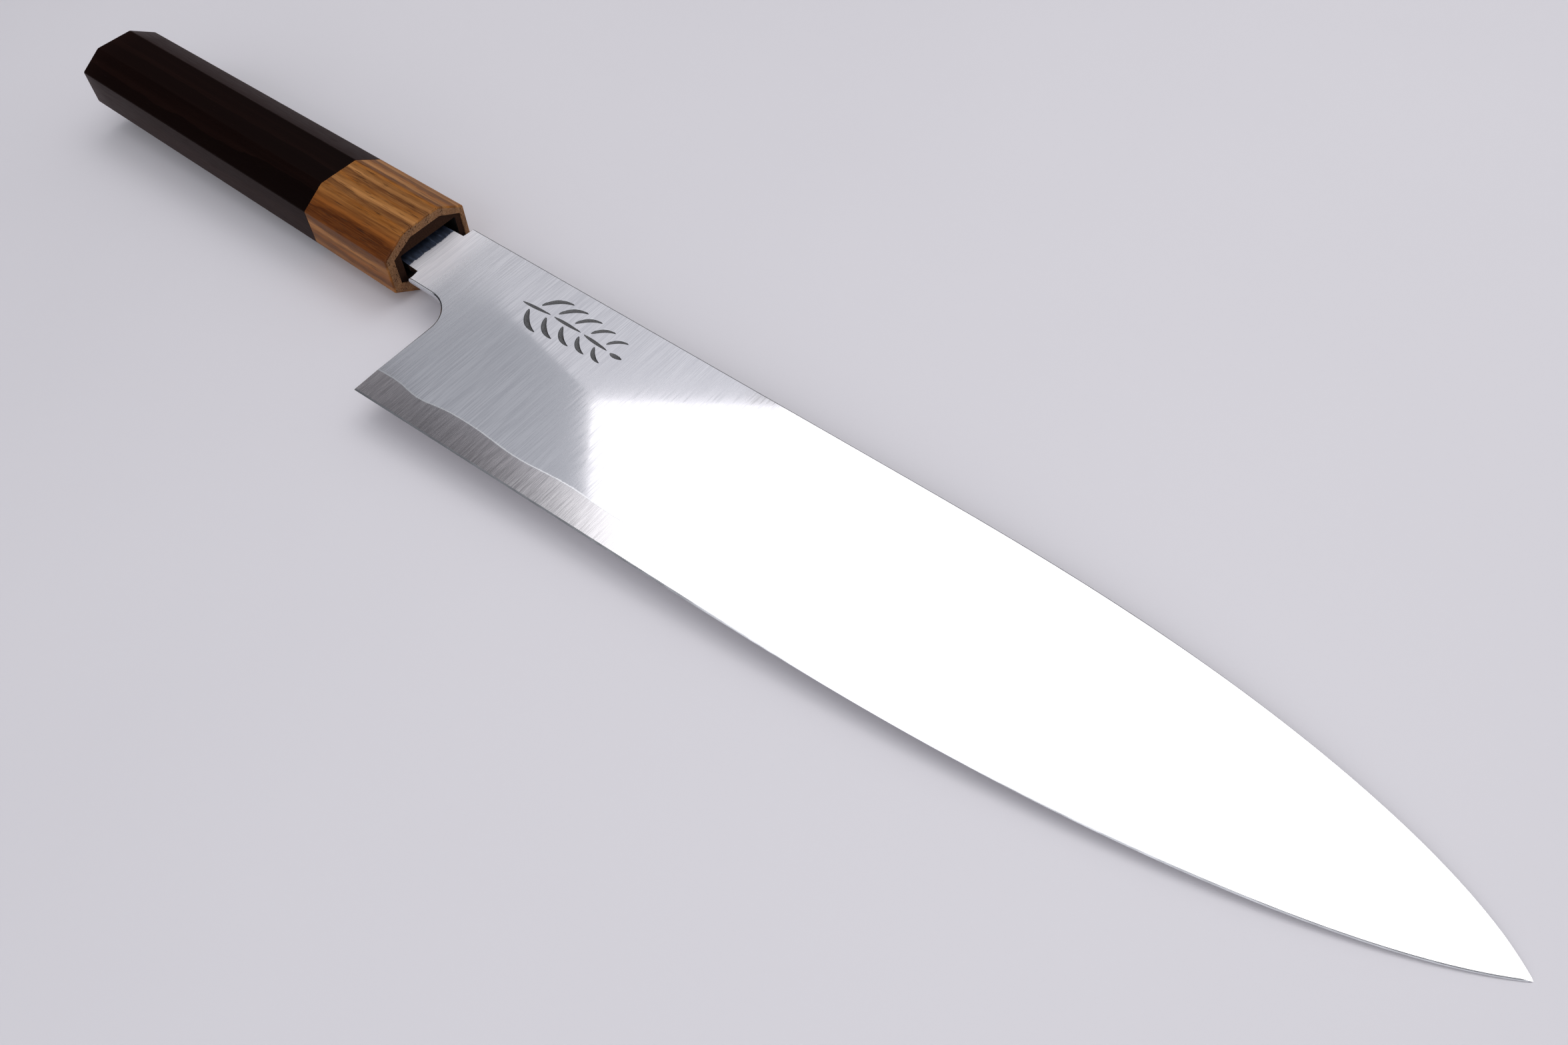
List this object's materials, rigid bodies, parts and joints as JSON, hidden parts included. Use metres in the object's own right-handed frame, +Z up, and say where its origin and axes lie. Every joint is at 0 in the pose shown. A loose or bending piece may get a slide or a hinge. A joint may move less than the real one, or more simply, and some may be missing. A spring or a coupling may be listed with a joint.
{
  "type": "chef knife",
  "caption": "Japanese-style chef's knife with a laminated steel blade and an octagonal handle in two woods, lying on its side.",
  "frame": {"origin": "on the surface the knife lies on, under the middle of the whole knife's length and width", "axes": "+X towards the tip, +Y towards the spine, +Z up out of the surface; the blade's right face looks up"},
  "size_m": [0.3864, 0.053, 0.0215],
  "materials": {
    "core_steel": "satin hard steel with fine scratches from spine to edge",
    "clad_steel": "satin stainless steel with fine hairlines from spine to edge",
    "ferrule_wood": "oiled honey-brown open-pored hardwood",
    "dark_wood": "oiled near-black hardwood",
    "adhesive": "matt cured adhesive"
  },
  "bodies": {
    "root": {"blade_core": "core_steel", "cladding_right": "clad_steel", "cladding_left": "clad_steel", "ferrule": "ferrule_wood", "handle_body": "dark_wood", "tang_bedding": "adhesive"}
  },
  "joints": []
}
